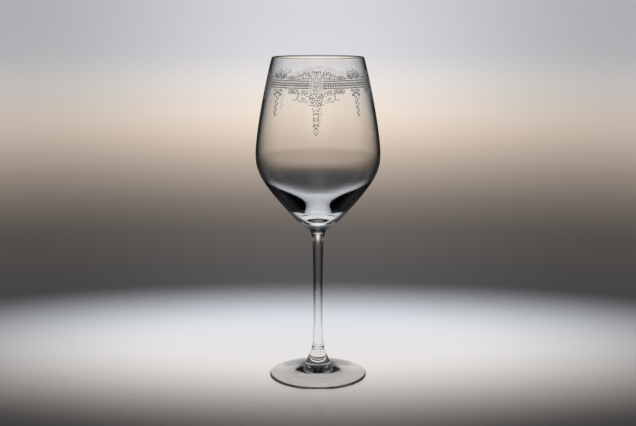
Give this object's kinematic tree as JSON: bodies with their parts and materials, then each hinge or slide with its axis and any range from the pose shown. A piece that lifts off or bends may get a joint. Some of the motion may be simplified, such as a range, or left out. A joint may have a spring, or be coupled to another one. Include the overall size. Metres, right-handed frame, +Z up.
{
  "type": "goblet",
  "caption": "Stemmed goblet of clear crystal: a tall tapering bowl with an etched lace border under the rim, a slender drawn stem and a round foot",
  "frame": {"origin": "middle of the underside of the foot, on the table", "axes": "+Z runs up the axis of the goblet from the foot to the rim; the front of a large motif of the border faces -Y"},
  "size_m": [0.088, 0.088, 0.23],
  "materials": {
    "crystal": "fire-polished",
    "etched_crystal": "frosted"
  },
  "bodies": {
    "root": {"bowl": "crystal", "stem": "crystal", "foot": "crystal"}
  },
  "joints": []
}
